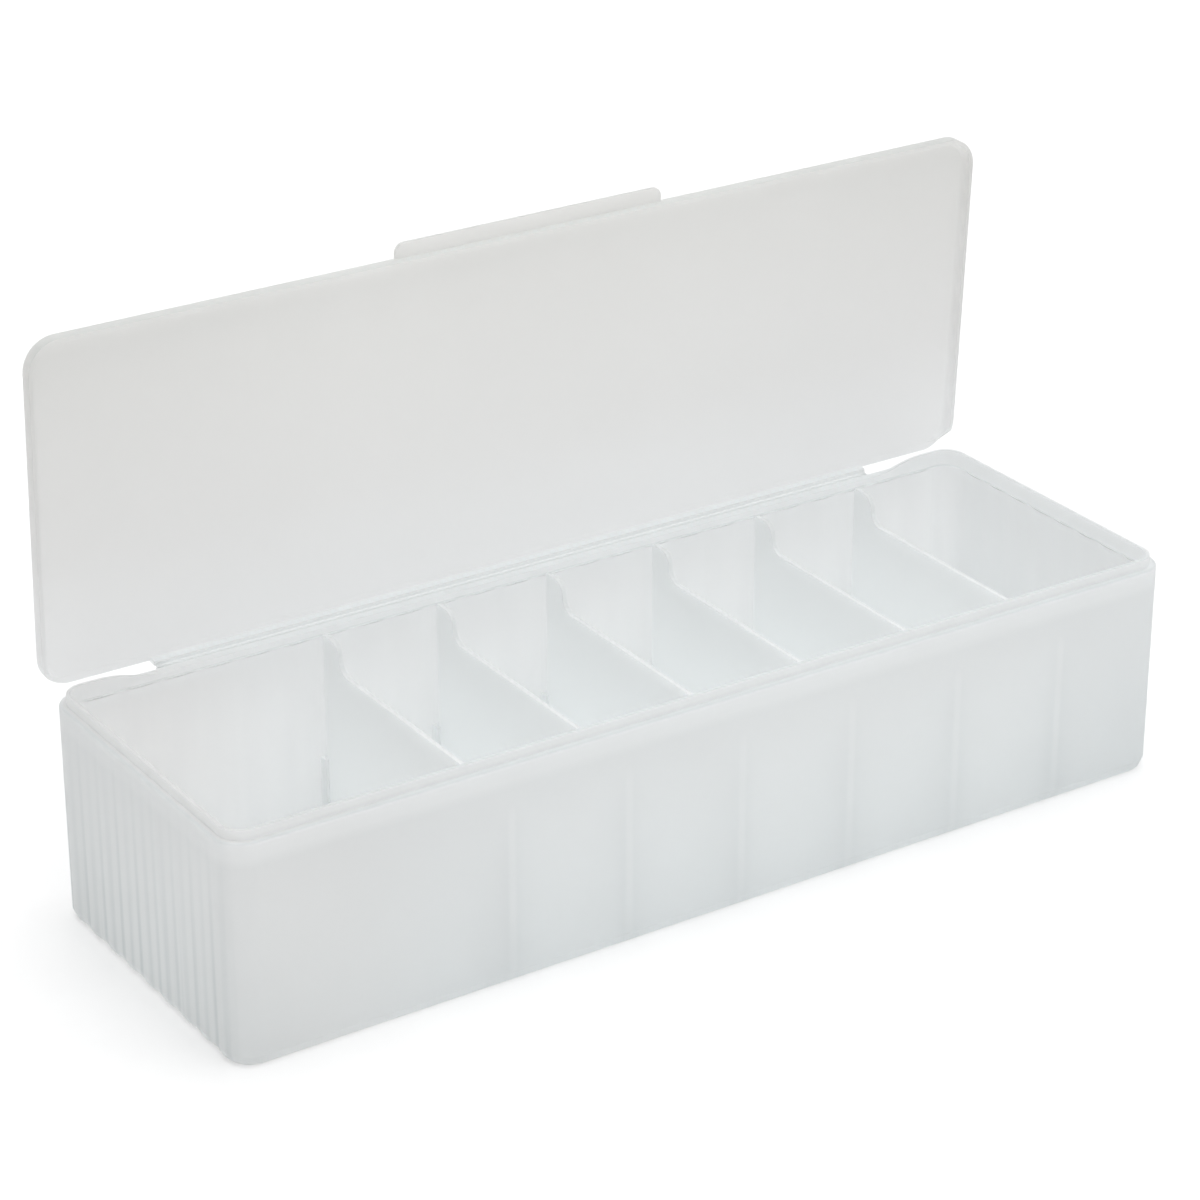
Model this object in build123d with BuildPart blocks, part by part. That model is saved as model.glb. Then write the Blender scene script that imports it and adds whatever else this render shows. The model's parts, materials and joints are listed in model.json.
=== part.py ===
from build123d import *
import math
import os

os.makedirs("parts", exist_ok=True)

# A long see-through storage box for cables: a tray with six loose dividers and a hinged lid that
# stands open. Millimetres. The origin is the middle of the tray's underside, +X runs along the
# tray, +Y to the hinge side and +Z up.

# Tray
tray_length = 325.0
tray_depth = 107.0
tray_height = 72.0
wall = 1.8
floor_thickness = 1.8
corner_radius = 9.0
foot_chamfer = 1.8
inner_foot = 1.5

# Rim: a plain band with a shoulder, and a lip that stands on it further in
rim_band = 5.0
lip_height = 3.0
lip_inset = 2.2
lip_thickness = 1.2
shoulder_softening = 0.8

# Flutes on the two ends and the back
flute_depth = 0.5
end_flutes = 8
back_flutes = 24

# Film hinge on a narrow ledge behind the back wall
hinge_span = 256.0
hinge_offset = 0.8
film_thickness = 0.4
film_lap = 0.8
film_gap = 0.35
ledge_thickness = 1.3

# Notches where the lip runs out beside the hinge
notch_length = 20.0

# Lid
lid_opening = 87.3
lid_plate = 1.3
lid_skirt = 1.3
lid_overhang = 0.8
lid_setback = 0.6
lid_rest = 0.2
lid_seat = 0.3
lid_softening = 0.6
lid_root = 1.4
skirt_runout = 4.0
tab_width = 92.0
tab_reach = 4.7
tab_radius = 3.0

# Dividers and the guide ribs that hold them
divider_count = 6
divider_pitch = 39.1
first_divider_x = -74.4
divider_thickness = 1.5
divider_low = 58.0
divider_rise = 9.0
divider_land = 4.6
divider_corner = 4.0
divider_clearance = 0.3
divider_seat = 0.2
rib_width = 1.0
rib_grip = 1.2
rib_root = 0.3
slot_clearance = 0.15
front_rib_height = 52.0
back_rib_height = 26.0

# Places that follow from the sizes
half_length = tray_length / 2
half_depth = tray_depth / 2
band_base = tray_height - rim_band
shoulder = tray_height - lip_height
rim_width = lip_inset + lip_thickness
hinge_y = half_depth + hinge_offset
hinge_z = shoulder + film_thickness / 2
divider_xs = [first_divider_x + divider_pitch * n for n in range(divider_count)]


def fluted_edge(start, along, inward, length, count):
    """A row of shallow flutes along one wall, with its crests on the wall's own plane."""
    pitch = length / count

    def at(distance, depth):
        return start + along * distance + inward * depth

    TangentArc(at(0, 0), at(pitch / 4, flute_depth / 2), tangent=along)
    for flute in range(count):
        valley_start = at(pitch * (flute + 0.25), flute_depth / 2)
        valley = at(pitch * (flute + 0.5), flute_depth)
        valley_end = at(pitch * (flute + 0.75), flute_depth / 2)
        ThreePointArc(valley_start, valley, valley_end)
        if flute < count - 1:
            crest = at(pitch * (flute + 1), 0)
            ThreePointArc(valley_end, crest, at(pitch * (flute + 1.25), flute_depth / 2))
    last = at(length - pitch / 4, flute_depth / 2)
    TangentArc(at(length, 0), last, tangent=-along)


def fluted_outline():
    """The tray's plan: a straight front, rounded corners, and flutes on the other three sides."""
    straight_x = half_length - corner_radius
    straight_y = half_depth - corner_radius
    Line((-straight_x, -half_depth), (straight_x, -half_depth))
    JernArc((straight_x, -half_depth), (1, 0), corner_radius, 90)
    right = Vector(half_length, -straight_y)
    fluted_edge(right, Vector(0, 1), Vector(-1, 0), 2 * straight_y, end_flutes)
    JernArc((half_length, straight_y), (0, 1), corner_radius, 90)
    back = Vector(straight_x, half_depth)
    fluted_edge(back, Vector(-1, 0), Vector(0, -1), 2 * straight_x, back_flutes)
    JernArc((-straight_x, half_depth), (-1, 0), corner_radius, 90)
    left = Vector(-half_length, straight_y)
    fluted_edge(left, Vector(0, -1), Vector(1, 0), 2 * straight_y, end_flutes)
    JernArc((-half_length, -straight_y), (0, -1), corner_radius, 90)


# Tray shell: fluted walls, then the band with its shoulder, then the lip
with BuildPart() as tray:
    with BuildSketch(Plane.XY):
        with BuildLine():
            fluted_outline()
        make_face()
    extrude(amount=band_base)
    chamfer(tray.edges().group_by(Axis.Z)[0], foot_chamfer)
    with BuildSketch(Plane.XY.offset(band_base)):
        RectangleRounded(tray_length, tray_depth, corner_radius)
    extrude(amount=shoulder - band_base)
    fillet(tray.edges().group_by(Axis.Z)[-1], shoulder_softening)
    with BuildSketch(Plane.XY.offset(shoulder)):
        RectangleRounded(
            tray_length - 2 * lip_inset, tray_depth - 2 * lip_inset, corner_radius - lip_inset
        )
    extrude(amount=lip_height)

    # Inside, the walls follow the flutes and slope in under the lip
    gusset = rim_width - wall
    gusset_base = shoulder - wall - gusset
    with BuildSketch(Plane.XY.offset(floor_thickness)):
        with BuildLine():
            fluted_outline()
        make_face()
        offset(amount=-wall)
    extrude(amount=gusset_base - floor_thickness, mode=Mode.SUBTRACT)
    inner_edges = tray.edges().filter_by_position(Axis.Z, floor_thickness, floor_thickness)
    chamfer(inner_edges, inner_foot)
    with BuildSketch(Plane.XY.offset(gusset_base)):
        RectangleRounded(tray_length - 2 * wall, tray_depth - 2 * wall, corner_radius - wall)
    extrude(amount=gusset, taper=45, mode=Mode.SUBTRACT)
    with BuildSketch(Plane.XY.offset(gusset_base + gusset)):
        RectangleRounded(
            tray_length - 2 * rim_width, tray_depth - 2 * rim_width, corner_radius - rim_width
        )
    extrude(amount=wall + lip_height, mode=Mode.SUBTRACT)

    # The lip is missing along the hinge and runs out in a soft curve at each end of it
    half_span = hinge_span / 2
    turn_x = half_span + notch_length / 2
    far_x = half_span + notch_length
    turn_z = shoulder + lip_height / 2
    above = tray_height + lip_height
    with BuildSketch(Plane.XZ.offset(-half_depth)):
        with BuildLine():
            Line((-half_span, shoulder), (half_span, shoulder))
            TangentArc((half_span, shoulder), (turn_x, turn_z), tangent=(1, 0))
            TangentArc((far_x, tray_height), (turn_x, turn_z), tangent=(-1, 0))
            Polyline((far_x, tray_height), (far_x, above), (-far_x, above), (-far_x, tray_height))
            TangentArc((-far_x, tray_height), (-turn_x, turn_z), tangent=(1, 0))
            TangentArc((-half_span, shoulder), (-turn_x, turn_z), tangent=(-1, 0))
        make_face()
    extrude(amount=2 * rim_width, mode=Mode.SUBTRACT)

    # Ledge that carries the film
    ledge_reach = hinge_offset - film_gap
    with BuildSketch(Plane.XY.offset(shoulder - ledge_thickness)):
        with Locations((0, half_depth + (ledge_reach - wall) / 2)):
            Rectangle(hinge_span, ledge_reach + wall)
    extrude(amount=ledge_thickness)

    # Guide ribs, a pair at each end of every divider
    rib_x = divider_thickness / 2 + slot_clearance + rib_width / 2
    rib_depth = rim_width + divider_clearance + rib_grip - wall + rib_root
    rib_y = half_depth - wall + rib_root - rib_depth / 2
    for divider_x in divider_xs:
        with BuildSketch(Plane.XY.offset(floor_thickness)):
            with Locations((divider_x - rib_x, -rib_y), (divider_x + rib_x, -rib_y)):
                Rectangle(rib_width, rib_depth)
        extrude(amount=front_rib_height - floor_thickness)
        with BuildSketch(Plane.XY.offset(floor_thickness)):
            with Locations((divider_x - rib_x, rib_y), (divider_x + rib_x, rib_y)):
                Rectangle(rib_width, rib_depth)
        extrude(amount=back_rib_height - floor_thickness)

tray.part.label = "tray"
export_step(tray.part, "parts/tray.step")


# Lid, drawn in its own plane: across, outward from the hinge, and up from its underside
opening = math.radians(lid_opening)
lid_plane = Plane(
    origin=(0, hinge_y, hinge_z),
    x_dir=(-1, 0, 0),
    z_dir=(0, math.sin(opening), math.cos(opening)),
)
lid_corner = corner_radius + lid_overhang
lid_length = tray_length + 2 * lid_overhang
lid_reach = hinge_y + half_depth + lid_overhang
lid_middle = (lid_setback + lid_reach) / 2
lid_width = lid_reach - lid_setback
plate_under = tray_height + lid_rest - hinge_z
skirt_foot = shoulder + lid_seat - hinge_z
skirt_drop = plate_under - skirt_foot

with BuildPart() as lid:
    with BuildSketch(lid_plane.offset(skirt_foot)):
        with Locations((0, lid_middle)):
            RectangleRounded(lid_length, lid_width, lid_corner)
    extrude(amount=skirt_drop + lid_plate)
    with BuildSketch(lid_plane.offset(skirt_foot)):
        with Locations((0, lid_middle)):
            RectangleRounded(
                lid_length - 2 * lid_skirt, lid_width - 2 * lid_skirt, lid_corner - lid_skirt
            )
    extrude(amount=skirt_drop, mode=Mode.SUBTRACT)

    root_edges = lid.edges().filter_by(
        lambda edge: abs(lid_plane.to_local_coords(edge.center()).Z - plate_under) < 0.001
    )
    fillet(root_edges, lid_root)

    # The skirt runs out half-way round the rear corners
    skirt_end = lid_corner * (1 - math.cos(math.radians(45)))
    runout_plane = Plane(origin=lid_plane.origin, x_dir=lid_plane.y_dir, z_dir=lid_plane.x_dir)
    with BuildSketch(runout_plane):
        with BuildLine():
            Polyline((0, plate_under), (skirt_end, plate_under))
            Polyline((skirt_end, plate_under), (skirt_end + skirt_runout, skirt_foot))
            Polyline((skirt_end + skirt_runout, skirt_foot), (0, skirt_foot), (0, plate_under))
        make_face()
    extrude(amount=lid_length, both=True, mode=Mode.SUBTRACT)

    # Thumb tab on the free edge
    with BuildSketch(lid_plane.offset(plate_under)) as tab_outline:
        with Locations((0, lid_reach + (tab_reach - lid_skirt) / 2)):
            Rectangle(tab_width, tab_reach + lid_skirt)
        fillet(tab_outline.vertices().group_by(Axis.Y)[-1], tab_radius)
    extrude(amount=lid_plate)
    top_face = lid.faces().sort_by(Axis((0, hinge_y, hinge_z), lid_plane.z_dir))[-1]
    fillet(top_face.edges(), lid_softening)

    # Leaf along the hinge, which folds down to the film
    with BuildSketch(lid_plane.offset(film_gap)):
        with Locations((0, lid_skirt / 2)):
            Rectangle(hinge_span, lid_skirt)
    extrude(amount=plate_under + lid_plate - film_gap)

lid.part.label = "lid"
export_step(lid.part, "parts/lid.step")


# Film hinge: a thin strip on the ledge whose round edge is the hinge line
with BuildPart() as living_hinge:
    with BuildSketch(Plane.YZ.offset(-hinge_span / 2)):
        with Locations((hinge_y - (film_gap + film_lap) / 2, hinge_z)):
            Rectangle(film_gap + film_lap, film_thickness)
        with Locations((hinge_y, hinge_z)):
            Circle(film_thickness / 2)
    extrude(amount=hinge_span)

living_hinge.part.label = "living_hinge"
export_step(living_hinge.part, "parts/living_hinge.step")


# Dividers: a low straight top edge, and a land at the back that an S-curve leads up to
for number, divider_x in enumerate(divider_xs, start=1):
    back_y = half_depth - rim_width - divider_clearance
    front_y = -back_y
    base_z = floor_thickness + divider_seat
    land_z = divider_low + divider_rise
    half_rise = divider_rise / 2
    land_y = back_y - divider_land
    with BuildPart() as divider:
        with BuildSketch(Plane.YZ.offset(divider_x - divider_thickness / 2)) as divider_face:
            with BuildLine():
                Polyline((land_y, land_z), (back_y, land_z), (back_y, base_z), (front_y, base_z))
                Polyline((front_y, base_z), (front_y, divider_low), (land_y - divider_rise, divider_low))
                TangentArc(
                    (land_y - divider_rise, divider_low),
                    (land_y - half_rise, divider_low + half_rise),
                    tangent=(1, 0),
                )
                TangentArc(
                    (land_y - half_rise, divider_low + half_rise), (land_y, land_z), tangent=(0, 1)
                )
            make_face()
            fillet(divider_face.vertices().group_by(Axis.Y)[0], divider_corner)
        extrude(amount=divider_thickness)
    divider.part.label = f"divider_{number}"
    export_step(divider.part, f"parts/divider_{number}.step")
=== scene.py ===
import json
import math

import bmesh
import bpy
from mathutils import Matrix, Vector

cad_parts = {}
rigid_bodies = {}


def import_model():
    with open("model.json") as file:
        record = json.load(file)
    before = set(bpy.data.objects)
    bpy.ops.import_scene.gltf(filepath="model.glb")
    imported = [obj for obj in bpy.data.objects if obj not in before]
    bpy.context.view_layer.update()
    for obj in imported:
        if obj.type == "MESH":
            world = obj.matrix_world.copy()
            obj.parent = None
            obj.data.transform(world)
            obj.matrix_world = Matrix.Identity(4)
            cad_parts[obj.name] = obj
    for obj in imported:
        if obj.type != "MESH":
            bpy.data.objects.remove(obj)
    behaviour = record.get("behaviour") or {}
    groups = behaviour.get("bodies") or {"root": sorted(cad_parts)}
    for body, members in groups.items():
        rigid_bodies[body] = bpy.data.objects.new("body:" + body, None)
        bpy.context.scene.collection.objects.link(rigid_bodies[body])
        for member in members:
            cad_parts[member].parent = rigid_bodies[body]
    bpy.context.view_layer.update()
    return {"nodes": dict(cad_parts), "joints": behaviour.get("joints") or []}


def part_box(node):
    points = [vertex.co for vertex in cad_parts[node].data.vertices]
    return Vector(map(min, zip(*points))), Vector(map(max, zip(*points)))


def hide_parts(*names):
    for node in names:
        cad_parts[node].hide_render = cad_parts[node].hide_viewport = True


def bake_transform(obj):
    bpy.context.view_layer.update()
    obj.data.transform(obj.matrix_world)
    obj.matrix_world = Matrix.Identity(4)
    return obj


# The start file's cube, lamp and camera go before the frame comes in
for start_object in list(bpy.data.objects):
    bpy.data.objects.remove(start_object)

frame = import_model()
scene = bpy.context.scene
nodes = frame["nodes"]
MM = 0.001

# Places read from the CAD parts, in metres
TRAY_LOW, TRAY_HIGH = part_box("tray")
HALF_LENGTH = TRAY_HIGH.x
HALF_DEPTH = -TRAY_LOW.y
FILM_LOW, FILM_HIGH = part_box("living_hinge")
DIVIDERS = [f"divider_{number}" for number in range(1, 7)]
DIVIDER_XS = [sum(corner.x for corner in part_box(name)) / 2 for name in DIVIDERS]
HINGE = next(Vector(j["pos_m"]) for j in frame["joints"] if j["name"] == "lid_hinge")

# Sizes repeated from the construction: the corners, and the flutes on each end and along the back
CORNER = 9 * MM
END_PITCH = 89 * MM / 8
BACK_PITCH = 307 * MM / 24


# Camera at the photograph's viewing angle, with no lens shift
camera_data = bpy.data.cameras.new("camera")
camera_data.sensor_width = 36
camera_data.lens = 112.87
camera_data.clip_start = 0.05
camera_data.clip_end = 60
camera = bpy.data.objects.new("camera", camera_data)
camera.location = (-0.5559, -0.8287, 0.5513)
camera.rotation_euler = (math.radians(90 - 25.35), 0, math.radians(-33.37))
scene.collection.objects.link(camera)
scene.camera = camera


class Nodes:
    """Short forms for building one material's node tree."""

    def __init__(self, name):
        self.material = bpy.data.materials.new(name)
        self.material.use_nodes = True
        self.tree = self.material.node_tree
        self.tree.nodes.clear()
        self.output = self.tree.nodes.new("ShaderNodeOutputMaterial")

    def add(self, kind, links=None, **settings):
        node = self.tree.nodes.new("ShaderNode" + kind)
        for key, value in settings.items():
            if key in node.inputs:
                node.inputs[key].default_value = value
            else:
                setattr(node, key, value)
        for key, source in (links or {}).items():
            self.tree.links.new(source, node.inputs[key])
        return node

    def place(self):
        return self.add("TexCoord").outputs["Object"]

    def up(self):
        """How far the surface faces up, from -1 to 1, in the piece's own frame."""
        normal = self.add("TexCoord").outputs["Normal"]
        return self.add("SeparateXYZ", {0: normal}).outputs[2]

    def noise(self, vector, scale, detail=3.0, roughness=0.5):
        links = {"Vector": vector}
        node = self.add("TexNoise", links, Scale=scale, Detail=detail, Roughness=roughness)
        return node.outputs["Fac"]

    def stretch(self, vector, scale):
        return self.add("Mapping", {"Vector": vector}, Scale=scale).outputs["Vector"]

    def maths(self, operation, a, b=None):
        node = self.add("Math", operation=operation)
        for index, value in enumerate((a, b)):
            if value is None:
                continue
            if isinstance(value, (int, float)):
                node.inputs[index].default_value = value
            else:
                self.tree.links.new(value, node.inputs[index])
        return node.outputs[0]

    def times(self, *values):
        product = values[0]
        for value in values[1:]:
            product = self.maths("MULTIPLY", product, value)
        return product

    def span(self, value, low, high, at_low=0.0, at_high=1.0):
        """Runs from at_low to at_high as the value runs from low to high, and holds outside."""
        node = self.add("MapRange", {"Value": value})
        for name, number in (
            ("From Min", low), ("From Max", high), ("To Min", at_low), ("To Max", at_high)
        ):
            node.inputs[name].default_value = number
        return node.outputs["Result"]

    def ramp(self, value, stops):
        node = self.add("ValToRGB", {"Fac": value})
        elements = node.color_ramp.elements
        while len(elements) < len(stops):
            elements.new(0.5)
        for element, (place, colour) in zip(elements, stops):
            element.position = place
            element.color = (*colour, 1)
        return node.outputs["Color"]

    def toward(self, colour, share, goal, blend="MIX"):
        """The colour moved toward a goal colour by a share from nodes."""
        node = self.add("MixRGB", {"Fac": share, "Color1": colour}, blend_type=blend)
        node.inputs["Color2"].default_value = (*goal, 1)
        return node.outputs[0]

    def shaded_or_tinted(self, colour, share, shade_or_tint):
        """The colour multiplied by another colour, by a share from nodes: painted shade, and
        tints.
        """
        return self.toward(colour, share, shade_or_tint, "MULTIPLY")

    def show(self, shader):
        self.tree.links.new(shader.outputs[0], self.output.inputs["Surface"])


# Colours that a finish is mixed with or multiplied by: a pale one for painted light on edges,
# thin lines, the rim and the lid along its hinge, a deep one for painted shade low down and in
# the flutes, a dull one for painted shade on level and hanging faces, and a smoky tint in the
# long compartment
PAINTED_HIGHLIGHT = (0.992, 0.997, 0.998)
DEEP_SHADE = (0.84, 0.86, 0.865)
DULL_SHADE = (0.84, 0.865, 0.865)
SMOKE = (0.97, 0.96, 0.955)
# Painted shade for the lid, toward its free edge and toward its ends
LID_TOP_SHADE = (0.955, 0.954, 0.944)
LID_END_SHADE = (0.973, 0.973, 0.973)

# The plastic itself. Each noise has its scale in cells a metre, its detail and its roughness
FLOW = (14, 4, 0.55)
MIST = (90, 2, 0.6)
GRAIN = (1900, 2, 0.5)
MIST_IN_COLOUR = 0.35
CLOUDINESS = (0.45, 0.9)
GRAIN_BUMP = {"Strength": 0.25, "Distance": 0.03 * MM}
FLOW_BUMP = {"Strength": 0.15, "Distance": 0.4 * MM}
MATT = (0.6, 1.4, 0.38, 0.56)
INDEX = 1.49
GLOSS = 0.4
SEE_THROUGH = 0.68

# Edges: how far they round, the cosine of a turn that counts as one, the painted highlight on
# them, and how much wear polishes them
EDGE_ROUNDING = 0.18 * MM
EDGE_TURN = (0.995, 0.9)
EDGE_HIGHLIGHT = 0.5
EDGE_POLISH = 0.12


def frosted(name, thin, thick, streaks=(1, 1, 1), zones=None):
    """Frosted polypropylene: matt faces, a fine eroded grain, cloudy flow marks, light inside,
    and a painted highlight on its edges.

    thin and thick are its colour where the melt ran thin and where it lies thick, streaks
    stretches the flow marks, and zones adds the painted light and shade, and the tints, that one
    piece shows by place."""
    n = Nodes(name)
    place = n.place()
    cloud = n.noise(n.stretch(place, streaks), *FLOW)
    mist = n.noise(place, *MIST)
    grain = n.noise(place, *GRAIN)
    body = n.span(n.maths("ADD", cloud, n.times(mist, MIST_IN_COLOUR)), *CLOUDINESS)
    colour = n.ramp(body, [(0.0, thick), (1.0, thin)])
    if zones:
        colour = zones(n, place, colour)

    # Edges get a painted highlight, a little paler than the faces, and are rubbed smoother
    rounded = n.add("Bevel", samples=4, Radius=EDGE_ROUNDING).outputs["Normal"]
    flat = n.add("NewGeometry").outputs["Normal"]
    turned = n.add("VectorMath", {0: rounded, 1: flat}, operation="DOT_PRODUCT")
    edge = n.span(turned.outputs["Value"], *EDGE_TURN)
    colour = n.toward(colour, n.times(edge, EDGE_HIGHLIGHT), PAINTED_HIGHLIGHT)
    bump = n.add("Bump", {"Height": grain, "Normal": rounded}, **GRAIN_BUMP)
    wave = n.add("Bump", {"Height": cloud, "Normal": bump.outputs["Normal"]}, **FLOW_BUMP)
    normal = wave.outputs["Normal"]
    matt = n.span(n.maths("ADD", grain, mist), *MATT)
    roughness = n.maths("SUBTRACT", matt, n.times(edge, EDGE_POLISH))
    links = {"Base Color": colour, "Roughness": roughness, "Normal": normal}
    surface = n.add("BsdfPrincipled", links)
    surface.inputs["IOR"].default_value = INDEX
    surface.inputs["Specular IOR Level"].default_value = GLOSS
    through = n.add("BsdfTranslucent", {"Color": colour, "Normal": normal})
    mix = n.add("MixShader", {1: surface.outputs[0], 2: through.outputs[0]})
    mix.inputs[0].default_value = SEE_THROUGH
    n.show(mix)
    return n.material


# Spans for the tray. Each says from where to where it runs, in metres or as a share, and then the
# results at both, where those aren't 0 and 1
OUTER_SKIN = (CORNER - 1.3 * MM, CORNER - 0.9 * MM)
END_SKIN = (HALF_LENGTH - 3 * MM, HALF_LENGTH - 1 * MM)
BACK_SKIN = (HALF_DEPTH - 3 * MM, HALF_DEPTH - 1 * MM)
STRONG_SLOPE = (0.5, 1.0, 0.0, 0.7)
WEAK_SLOPE = (0.7, 1.0, 0.0, 0.4)
FLUTES_FADE = (4 * MM, 62 * MM, 1.0, 0.15)
STREAK_EDGE = (0.5, 0.75)
FOOT = (0.0, 50 * MM, 0.45, 0.22)
FAR_ENDS = (90 * MM, 150 * MM, 0.0, 0.04)
LITTLE_SHADE_ON_BACK = (44 * MM, 50 * MM, 1.0, 0.1)
DEPTHS = (4 * MM, 42 * MM, 0.2, 0.0)
BASE = (4 * MM, 3 * MM, 0.0, 0.4)
END_ROOMS = (95 * MM, 130 * MM)
LEFT_HALF = (0.0, MM, 0.9, 0.0)
LINE_WIDTH = (0.5 * MM, 1.7 * MM, 0.85, 0.0)
LINE_TOP = (52 * MM, 58 * MM, 1.0, 0.0)
LINE_FOOT = (3 * MM, 25 * MM, 0.3, 1.0)
FRONT_WALL = (TRAY_LOW.y + 2.2 * MM, TRAY_LOW.y + 1.4 * MM)
RIM = (61.5 * MM, 64.5 * MM)
UPRIGHT = (0.65, 0.35)
PAST_FRONT_RIM = (-51 * MM, -49 * MM, 1.0, 0.5)
UNDER_LIP = (65.8 * MM, 66.3 * MM)
HANGING = (-0.4, -0.65, 0.0, 0.45)
LEVEL = (0.6, 0.9)
RIM_ENDS = (150 * MM, 158 * MM, 0.6, 0.3)
BACK_RIM = (45 * MM, 50 * MM, 1.0, 0.4)

# The painted shade on the ends, and the streaks' strength and noise, which is drawn out upright
END_SHADE = 0.2
STREAK_SHARE = 0.4
STREAK_STRETCH = (1, 1, 0.02)
STREAK_NOISE = (420, 2, 0.7)


def outer_faces(n, wide, y):
    """Masks of the tray's outer faces: all of them, those of both ends, and those of the back."""
    deep = n.maths("ABSOLUTE", y)
    past_x = n.maths("MAXIMUM", n.maths("SUBTRACT", wide, HALF_LENGTH - CORNER), 0.0)
    past_y = n.maths("MAXIMUM", n.maths("SUBTRACT", deep, HALF_DEPTH - CORNER), 0.0)
    squares = n.maths("ADD", n.times(past_x, past_x), n.times(past_y, past_y))
    outside = n.span(n.maths("SQRT", squares), *OUTER_SKIN)
    on_end = n.times(outside, n.span(wide, *END_SKIN))
    on_back = n.times(outside, n.span(y, *BACK_SKIN))
    return outside, on_end, on_back


def flute_lines(n, along, pitch, wall):
    """A painted shade line on both slopes of each flute, one stronger than the other."""
    turns = n.maths("MULTIPLY", along, 2 * math.pi / pitch)
    strong = n.span(n.maths("SINE", turns), *STRONG_SLOPE)
    weak = n.span(n.maths("SINE", n.maths("ADD", turns, math.pi)), *WEAK_SLOPE)
    return n.times(n.maths("ADD", strong, weak), wall)


def divider_lines(n, x, y, z):
    """Painted highlight lines on the front wall where the dividers' front edges and their guide
    ribs show through it.
    """
    near = None
    for station in DIVIDER_XS:
        away = n.maths("ABSOLUTE", n.maths("SUBTRACT", x, station))
        line = n.span(away, *LINE_WIDTH)
        near = line if near is None else n.maths("MAXIMUM", near, line)
    height = n.times(n.span(z, *LINE_TOP), n.span(z, *LINE_FOOT))
    return n.times(near, n.span(y, *FRONT_WALL), height)


def tray_zones(n, place, colour):
    """What the tray shows by place: painted shade on the fluted walls, foot and depths, and
    painted light and shade on the dividers' lines and rim.
    """
    x, y, z = n.add("SeparateXYZ", {0: place}).outputs
    up = n.up()
    wide = n.maths("ABSOLUTE", x)
    outside, on_end, on_back = outer_faces(n, wide, y)

    # Painted shade lines on the flutes, and fine dark upright streaks, all fading toward the rim
    end_lines = flute_lines(n, y, END_PITCH, on_end)
    lines = n.maths("ADD", end_lines, flute_lines(n, x, BACK_PITCH, on_back))
    fine = n.span(n.noise(n.stretch(place, STREAK_STRETCH), *STREAK_NOISE), *STREAK_EDGE)
    streaks = n.times(fine, n.maths("MAXIMUM", on_end, on_back), STREAK_SHARE)
    drawn = n.times(n.maths("ADD", lines, streaks), n.span(z, *FLUTES_FADE))
    colour = n.shaded_or_tinted(colour, drawn, DEEP_SHADE)

    # Painted shade on the outside: darker toward the foot and on the ends, and nearly none on the
    # back
    ends = n.maths("MAXIMUM", n.times(on_end, END_SHADE), n.span(wide, *FAR_ENDS))
    shade = n.times(n.maths("ADD", n.span(z, *FOOT), ends), n.span(y, *LITTLE_SHADE_ON_BACK))
    colour = n.shaded_or_tinted(colour, n.times(outside, shade), DEEP_SHADE)

    # Painted shade inside: darker low down and on the floor. The long compartment is also tinted
    # warmer
    inside = n.maths("SUBTRACT", 1.0, outside)
    depths = n.times(inside, n.span(z, *DEPTHS))
    base = n.times(inside, n.span(z, *BASE))
    colour = n.shaded_or_tinted(colour, n.maths("MAXIMUM", depths, base), DEEP_SHADE)
    end_room = n.times(inside, n.span(wide, *END_ROOMS))
    colour = n.shaded_or_tinted(colour, n.times(end_room, n.span(x, *LEFT_HALF)), SMOKE)
    # Painted highlight lines where the dividers show through the front wall
    colour = n.toward(colour, divider_lines(n, x, y, z), PAINTED_HIGHLIGHT)

    # Painted light on the rim's upright faces, and painted shade on its level and hanging ones so
    # that they are no brighter than the walls
    rim = n.span(z, *RIM)
    upright = n.span(n.maths("ABSOLUTE", up), *UPRIGHT)
    colour = n.toward(colour, n.times(rim, upright, n.span(y, *PAST_FRONT_RIM)), PAINTED_HIGHLIGHT)
    hanging = n.times(n.span(z, *UNDER_LIP), n.span(up, *HANGING))
    level = n.times(rim, n.span(up, *LEVEL), n.span(wide, *RIM_ENDS), n.span(y, *BACK_RIM))
    return n.shaded_or_tinted(colour, n.maths("ADD", hanging, level), DULL_SHADE)


# Spans for the lid's painted light and shade, as it stands at rest: places along and up its
# plate, and faces turned up
LID_UPPER_SHADE = (75 * MM, 165 * MM)
LID_SIDES = (60 * MM, 150 * MM)
LID_HINGE_LIGHT = (69 * MM, 110 * MM, 0.8, 0.0)
AT_HINGE = (80 * MM, 76 * MM, 0.0, 0.35)
AT_TAB = (150 * MM, 160 * MM, 0.0, 0.4)
LID_EDGES = (0.5, 0.8)


def lid_zones(n, place, colour):
    """The lid is painted lighter along the hinge, painted darker and warmer toward its free edge
    and ends, and painted darker on faces turned up at the hinge and the tab.
    """
    x, _, z = n.add("SeparateXYZ", {0: place}).outputs
    up = n.up()
    colour = n.shaded_or_tinted(colour, n.span(z, *LID_UPPER_SHADE), LID_TOP_SHADE)
    colour = n.shaded_or_tinted(colour, n.span(n.maths("ABSOLUTE", x), *LID_SIDES), LID_END_SHADE)
    colour = n.toward(colour, n.span(z, *LID_HINGE_LIGHT), PAINTED_HIGHLIGHT)
    ledges = n.maths("ADD", n.span(z, *AT_HINGE), n.span(z, *AT_TAB))
    return n.shaded_or_tinted(colour, n.times(n.span(up, *LID_EDGES), ledges), DULL_SHADE)


def wear(node, material):
    for slot in node.material_slots:
        slot.material = material


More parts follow.
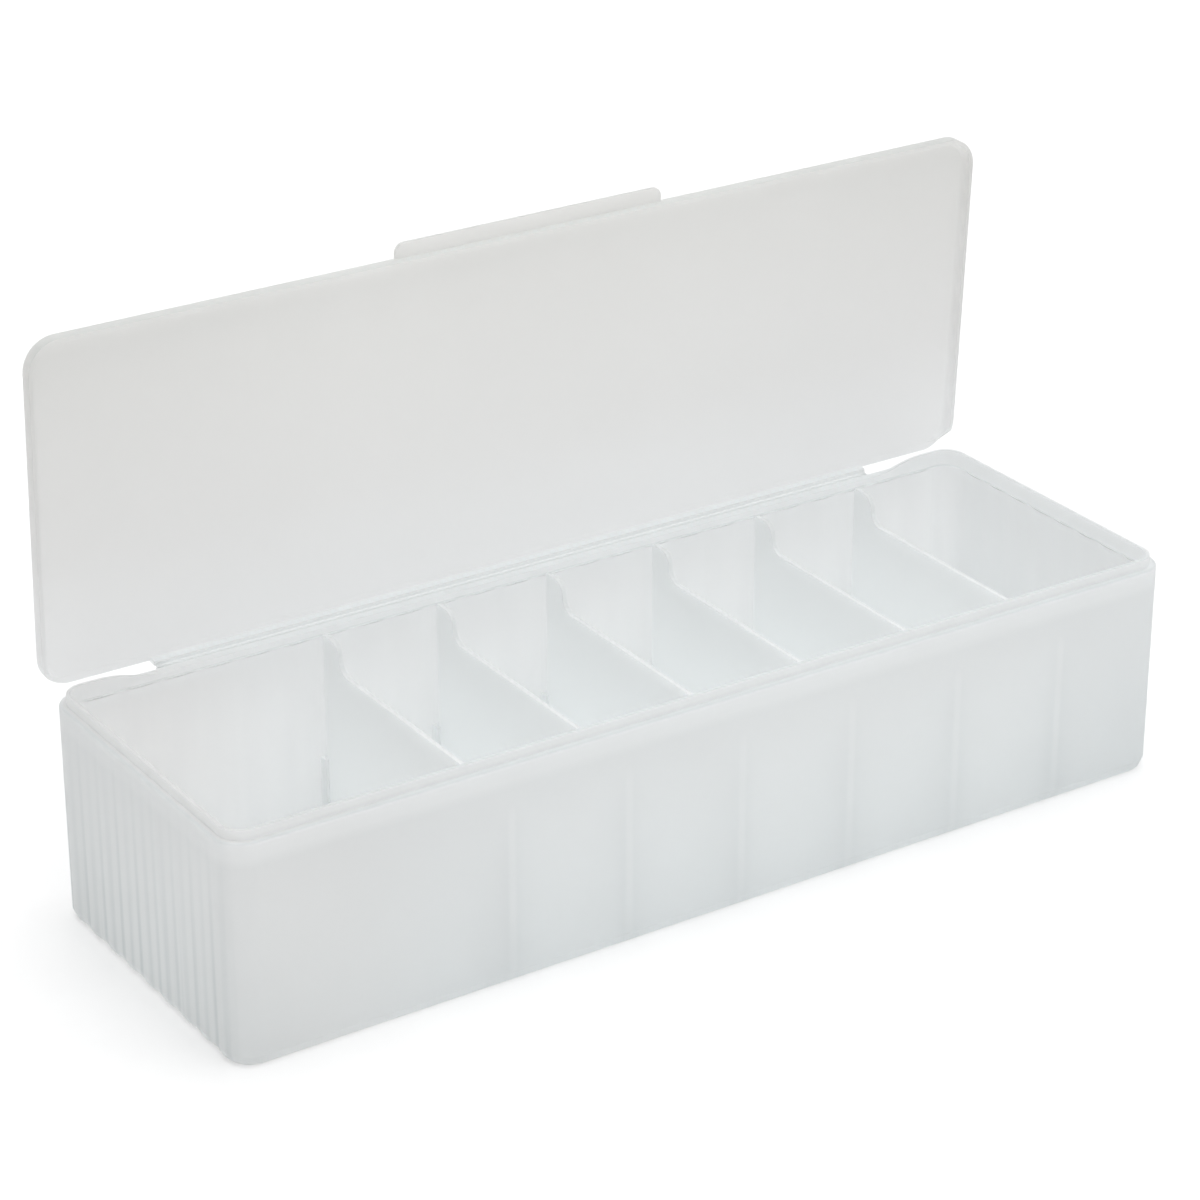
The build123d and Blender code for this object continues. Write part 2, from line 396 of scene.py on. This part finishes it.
tray_material = frosted(
    "tray_frost", thin=(0.988, 0.992, 0.992), thick=(0.974, 0.979, 0.98),
    streaks=(1, 1, 0.35), zones=tray_zones,
)
lid_material = frosted(
    "lid_frost", thin=(0.988, 0.988, 0.987), thick=(0.976, 0.976, 0.974),
    streaks=(0.45, 1, 1), zones=lid_zones,
)
divider_material = frosted(
    "divider_frost", thin=(0.988, 0.994, 0.994), thick=(0.98, 0.987, 0.988), streaks=(1, 1, 0.5)
)
hinge_material = frosted(
    "hinge_frost", thin=(0.985, 0.99, 0.99), thick=(0.965, 0.975, 0.975), streaks=(0.3, 1, 1)
)
wear(nodes["tray"], tray_material)
wear(nodes["lid"], lid_material)
for name in DIVIDERS:
    wear(nodes[name], divider_material)


# Film hinge: a strip that lies on the ledge, turns up and laps the foot of the lid's leaf
FILM_THICK = 0.36 * MM
FILM_END_GAP = 0.4 * MM
FILM_INSET = 0.1 * MM
FILM_LAP = 0.45 * MM
FILM_TURN = 0.42 * MM
TURN_SETBACK = 0.1 * MM
TURN_STEPS = 8
TAPER = -0.6
STEPS_ALONG = 64

# Its middle line, seen from the end
lap_y = FILM_LOW.y + FILM_INSET
line = [Vector((0, lap_y, HINGE.z)), Vector((0, lap_y + FILM_LAP, HINGE.z))]
turn_centre = Vector((0, HINGE.y - TURN_SETBACK, HINGE.z + FILM_TURN))
for step in range(TURN_STEPS + 1):
    angle = math.radians(90 * step / TURN_STEPS)
    line.append(turn_centre + FILM_TURN * Vector((0, math.sin(angle), -math.cos(angle))))
line.append(line[-1] + Vector((0, 0, FILM_LAP)))

# Its upper and lower faces, which meet in a thin edge on the ledge
rows = []
for index, point in enumerate(line):
    before, after = line[max(index - 1, 0)], line[min(index + 1, len(line) - 1)]
    along = (after - before).normalized()
    side = Vector((0, -along.z, along.y)) * FILM_THICK / 2
    rows.append((point + side * (1 if index else TAPER), point - side))

strip = bmesh.new()
film_half = FILM_HIGH.x - FILM_END_GAP
grid = []
for step in range(STEPS_ALONG + 1):
    x = -film_half + 2 * film_half * step / STEPS_ALONG
    ring = [strip.verts.new((x, upper.y, upper.z)) for upper, _ in rows]
    ring += [strip.verts.new((x, lower.y, lower.z)) for _, lower in reversed(rows)]
    grid.append(ring)
for ring, next_ring in zip(grid, grid[1:]):
    for index in range(len(ring)):
        follow = (index + 1) % len(ring)
        strip.faces.new((ring[index], ring[follow], next_ring[follow], next_ring[index]))
strip.faces.new(grid[0][::-1])
strip.faces.new(grid[-1])
bmesh.ops.recalc_face_normals(strip, faces=strip.faces)
film_mesh = bpy.data.meshes.new("film_hinge")
strip.to_mesh(film_mesh)
strip.free()
for face in film_mesh.polygons:
    face.use_smooth = True
film = bpy.data.objects.new("film_hinge", film_mesh)
scene.collection.objects.link(film)
film.data.materials.append(hinge_material)
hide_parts("living_hinge")
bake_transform(film)


# Plain pale floor, lit a little from within so that it stays nearly white
FLOOR_REACH = 15
FLOOR_GAP = 0.05 * MM
FLOOR_TONES = [(0.3, (0.69, 0.69, 0.69)), (0.7, (0.71, 0.71, 0.71))]
PAPER = (40, 3)
PAPER_ROUGHNESS = 0.9
PAPER_GLOSS = 0.1
FLOOR_GLOW = 0.3
floor_mesh = bpy.data.meshes.new("floor")
sheet = bmesh.new()
bmesh.ops.create_grid(sheet, x_segments=1, y_segments=1, size=FLOOR_REACH)
sheet.to_mesh(floor_mesh)
sheet.free()
floor = bpy.data.objects.new("floor", floor_mesh)
floor.location = (0, 0, TRAY_LOW.z - FLOOR_GAP)
scene.collection.objects.link(floor)
f = Nodes("floor_paper")
tone = f.ramp(f.noise(f.place(), *PAPER), FLOOR_TONES)
paint = f.add("BsdfPrincipled", {"Base Color": tone})
paint.inputs["Roughness"].default_value = PAPER_ROUGHNESS
paint.inputs["Specular IOR Level"].default_value = PAPER_GLOSS
paint.inputs["Emission Color"].default_value = (1, 1, 1, 1)
paint.inputs["Emission Strength"].default_value = FLOOR_GLOW
f.show(paint)
floor.data.materials.append(f.material)


# Soft studio light: a dim pale room, a sun as wide as a ceiling, and a soft box behind the lid
ROOM_COLOUR = (0.985, 0.99, 1.0, 1)
ROOM_LIGHT = 0.22
CEILING_LIGHT = 2.74
CEILING_SPREAD = 75
CEILING_TILT = (4, 6)
BACK_LIGHT = 3.0
BACK_SIZE = (1.8, 0.6)
BACK_PLACE = (0.1, 1.2, 0.3)
BACK_AIM = (0, 0.06, 0.12)
world = bpy.data.worlds.new("studio")
scene.world = world
world.use_nodes = True
background = world.node_tree.nodes["Background"]
background.inputs["Color"].default_value = ROOM_COLOUR
background.inputs["Strength"].default_value = ROOM_LIGHT

ceiling_data = bpy.data.lights.new("ceiling", "SUN")
ceiling_data.energy = CEILING_LIGHT
ceiling_data.angle = math.radians(CEILING_SPREAD)
ceiling = bpy.data.objects.new("ceiling", ceiling_data)
ceiling.rotation_euler = [math.radians(tilt) for tilt in CEILING_TILT] + [0]
scene.collection.objects.link(ceiling)

back_data = bpy.data.lights.new("back_box", "AREA")
back_data.shape = "RECTANGLE"
back_data.size, back_data.size_y = BACK_SIZE
back_data.energy = BACK_LIGHT
back_box = bpy.data.objects.new("back_box", back_data)
back_box.location = BACK_PLACE
back_direction = Vector(BACK_AIM) - back_box.location
back_box.rotation_euler = back_direction.to_track_quat("-Z", "Y").to_euler()
scene.collection.objects.link(back_box)

# Light has to pass many frosted walls, so it may bounce often
BOUNCES = 24
scene.cycles.max_bounces = BOUNCES
scene.cycles.diffuse_bounces = BOUNCES
scene.cycles.transmission_bounces = BOUNCES
scene.view_settings.view_transform = "Standard"
scene.view_settings.look = "None"
scene.view_settings.exposure = 0
scene.view_settings.gamma = 1
